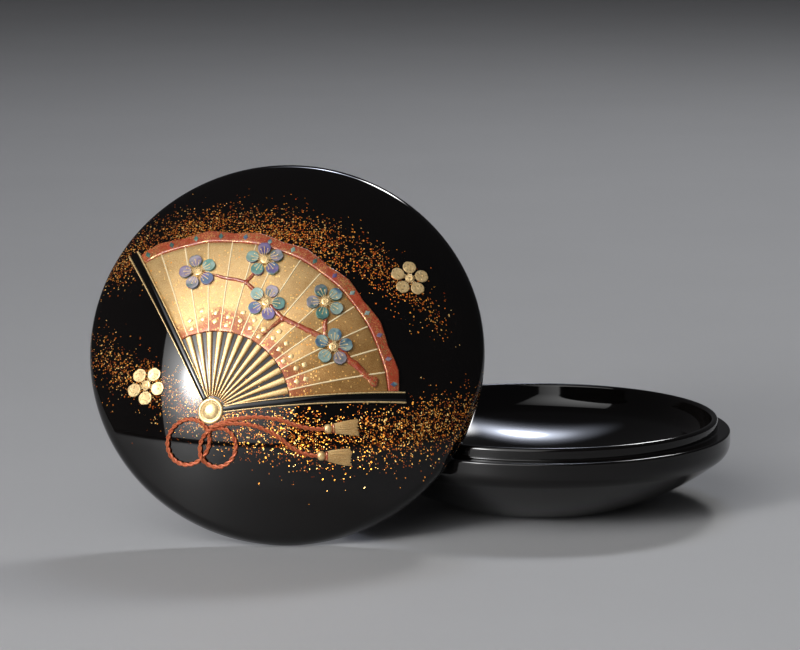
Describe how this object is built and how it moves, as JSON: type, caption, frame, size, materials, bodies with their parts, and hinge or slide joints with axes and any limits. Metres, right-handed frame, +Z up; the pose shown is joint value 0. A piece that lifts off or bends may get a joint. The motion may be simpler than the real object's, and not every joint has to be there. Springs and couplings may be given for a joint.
{
  "type": "kogo incense box",
  "caption": "Round black lacquer incense box, its domed lid with a raised gold fan stood on edge beside the open base.",
  "frame": {"origin": "centre of the base's flat foot, on the surface it stands on", "axes": "+Z up; the lid stands at -X and its decorated crown faces -Y"},
  "size_m": [0.1255, 0.0838, 0.0688],
  "materials": {
    "wood": "turned, unfinished, under lacquer",
    "black_lacquer": "mirror-polished black lacquer",
    "gold_lacquer": "raised lacquer sprinkled with gold powder, satin metallic",
    "red_lacquer": "raised red-brown lacquer dusted with gold",
    "cut_gold": "polished gold sheet",
    "shell": "polished shell inlay with blue-green and violet play of colour"
  },
  "bodies": {
    "base": {"base_core": "wood", "base_outer_coat": "black_lacquer", "base_inner_coat": "black_lacquer", "base_foot_coat": "black_lacquer"},
    "lid": {"lid_core": "wood", "lid_outer_coat": "black_lacquer", "lid_inner_coat": "black_lacquer", "lid_rim_coat": "black_lacquer", "fan_leaf": "gold_lacquer", "fan_border": "red_lacquer", "fan_fold_lines": "gold_lacquer", "fan_ribs": "gold_lacquer", "fan_guard_sticks": "black_lacquer", "fan_rivet": "cut_gold", "fan_cord": "red_lacquer", "fan_tassels": "gold_lacquer", "plum_branch": "red_lacquer", "shell_petals": "shell", "gold_petals": "cut_gold", "petal_eyes": "cut_gold", "cut_gold_squares": "cut_gold", "shell_chips": "shell"}
  },
  "joints": [
    {"name": "lid_lift", "type": "slide", "parent": "base", "child": "lid", "axis": [0, 0, 1], "range_m": [0, 0.06]}
  ]
}
